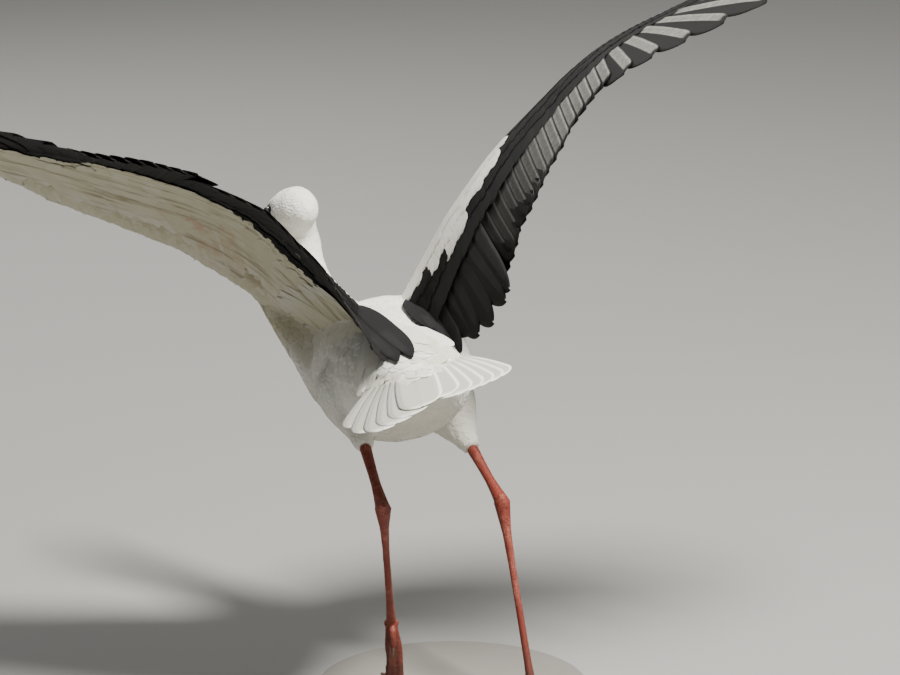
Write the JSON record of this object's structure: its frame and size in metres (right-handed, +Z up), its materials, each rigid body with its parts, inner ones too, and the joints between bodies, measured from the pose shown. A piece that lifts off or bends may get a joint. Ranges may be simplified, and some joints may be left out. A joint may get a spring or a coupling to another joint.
{
  "type": "white stork",
  "caption": "Life-size white stork standing with both wings raised and spread, head turned to its left, on a plain round board.",
  "frame": {"origin": "centre of the bounding box's underside, on the underside of the board", "axes": "+Z up, the bird faces -Y, its left side is +X; +X runs along the wingspan, the longest extent"},
  "size_m": [1.477, 0.7734, 0.9373],
  "materials": {
    "plumage_white": "soft matt feathers",
    "plumage_black": "sleek feathers with a faint sheen",
    "tail_white": "sleek feathers, slightly see-through at the edges",
    "leg_skin": "scaled skin, matt",
    "bill": "horn, satin",
    "eye": "wet gloss",
    "claw": "horn, satin",
    "board": "painted, matt"
  },
  "bodies": {
    "root": {"trunk": "plumage_white", "neck_lower": "plumage_white", "neck_middle": "plumage_white", "neck_upper": "plumage_white", "head": "plumage_white", "eye_left": "eye", "eye_right": "eye", "bill_lower": "bill", "bill_upper": "bill", "tail_feathers": "tail_white", "wing_left_alula": "plumage_black", "wing_left_arm": "plumage_white", "wing_left_forearm": "plumage_white", "wing_left_hand": "plumage_black", "wing_left_primaries_inner": "plumage_black", "wing_left_primaries_outer": "plumage_black", "wing_left_secondaries": "plumage_black", "wing_left_tertials": "plumage_black", "wing_right_alula": "plumage_black", "wing_right_arm": "plumage_white", "wing_right_forearm": "plumage_white", "wing_right_hand": "plumage_black", "wing_right_primaries_inner": "plumage_black", "wing_right_primaries_outer": "plumage_black", "wing_right_secondaries": "plumage_black", "wing_right_tertials": "plumage_black", "leg_left_claw_hind": "claw", "leg_left_claw_inner": "claw", "leg_left_claw_middle": "claw", "leg_left_claw_outer": "claw", "leg_left_foot": "leg_skin", "leg_left_shank": "leg_skin", "leg_left_tarsus": "leg_skin", "leg_left_thigh": "plumage_white", "leg_right_claw_hind": "claw", "leg_right_claw_inner": "claw", "leg_right_claw_middle": "claw", "leg_right_claw_outer": "claw", "leg_right_foot": "leg_skin", "leg_right_shank": "leg_skin", "leg_right_tarsus": "leg_skin", "leg_right_thigh": "plumage_white", "stand_base": "board"}
  },
  "joints": []
}
